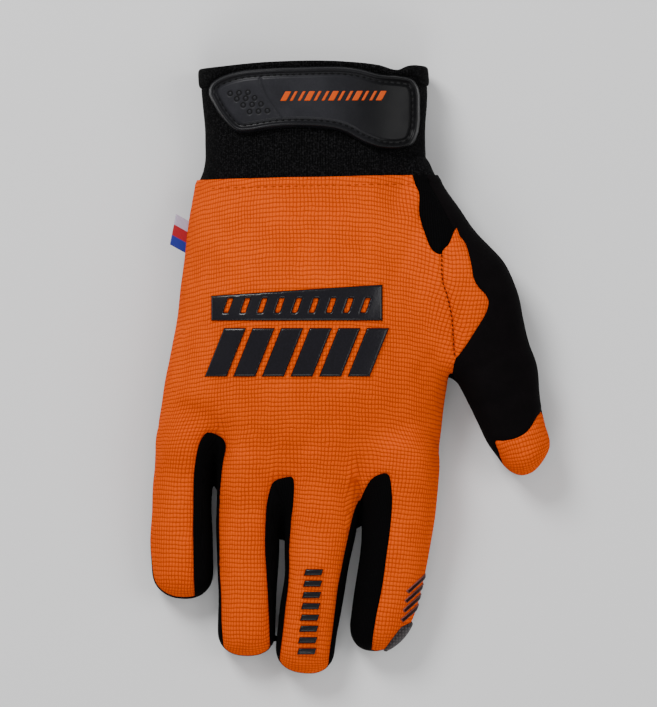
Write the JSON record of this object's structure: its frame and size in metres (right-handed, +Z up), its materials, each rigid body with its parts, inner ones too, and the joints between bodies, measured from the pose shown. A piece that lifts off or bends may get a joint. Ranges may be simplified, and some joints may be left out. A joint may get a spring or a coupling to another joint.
{
  "type": "motocross glove",
  "caption": "Right-hand motocross glove in orange stretch cloth and black synthetic suede, with a knitted cuff and a moulded rubber closing strap, lying palm down.",
  "frame": {"origin": "on the palm's flat underside, under the middle of the hand, where the glove rests", "axes": "+Z up out of the back of the hand, +Y from the fingers towards the cuff, +X towards the thumb"},
  "size_m": [0.1445, 0.2207, 0.0338],
  "materials": {
    "orange_stretch": "matte woven stretch cloth with a fine waffle weave",
    "black_suede": "matte synthetic suede",
    "black_stretch": "matte stretch cloth",
    "black_knit": "matte fine ribbed knit",
    "strap_rubber": "satin moulded rubber",
    "print_gloss": "glossy raised print",
    "silicone": "satin raised silicone",
    "ribbon": "woven ribbon"
  },
  "bodies": {
    "root": {"back_panel": "orange_stretch", "thumb_gusset": "orange_stretch", "thumb_tip_panel": "orange_stretch", "thumb_panel": "black_suede", "palm_panel": "black_suede", "fourchette_pinky_ring": "black_stretch", "fourchette_ring_middle": "black_stretch", "fourchette_middle_index": "black_stretch", "wrist_gusset": "black_stretch", "cuff": "black_knit", "cuff_binding": "black_knit", "strap": "strap_rubber", "side_tag": "ribbon", "print_bar": "print_gloss", "print_block_1": "print_gloss", "print_block_2": "print_gloss", "print_block_3": "print_gloss", "print_block_4": "print_gloss", "print_block_5": "print_gloss", "print_block_6": "print_gloss", "finger_print_1": "print_gloss", "finger_print_2": "print_gloss", "finger_print_3": "print_gloss", "finger_print_4": "print_gloss", "finger_print_5": "print_gloss", "finger_print_6": "print_gloss", "finger_print_7": "print_gloss", "finger_print_8": "print_gloss", "index_stripe_1": "silicone", "index_stripe_2": "silicone", "index_stripe_3": "silicone", "index_stripe_4": "silicone", "index_tip_patch": "silicone"}
  },
  "joints": []
}
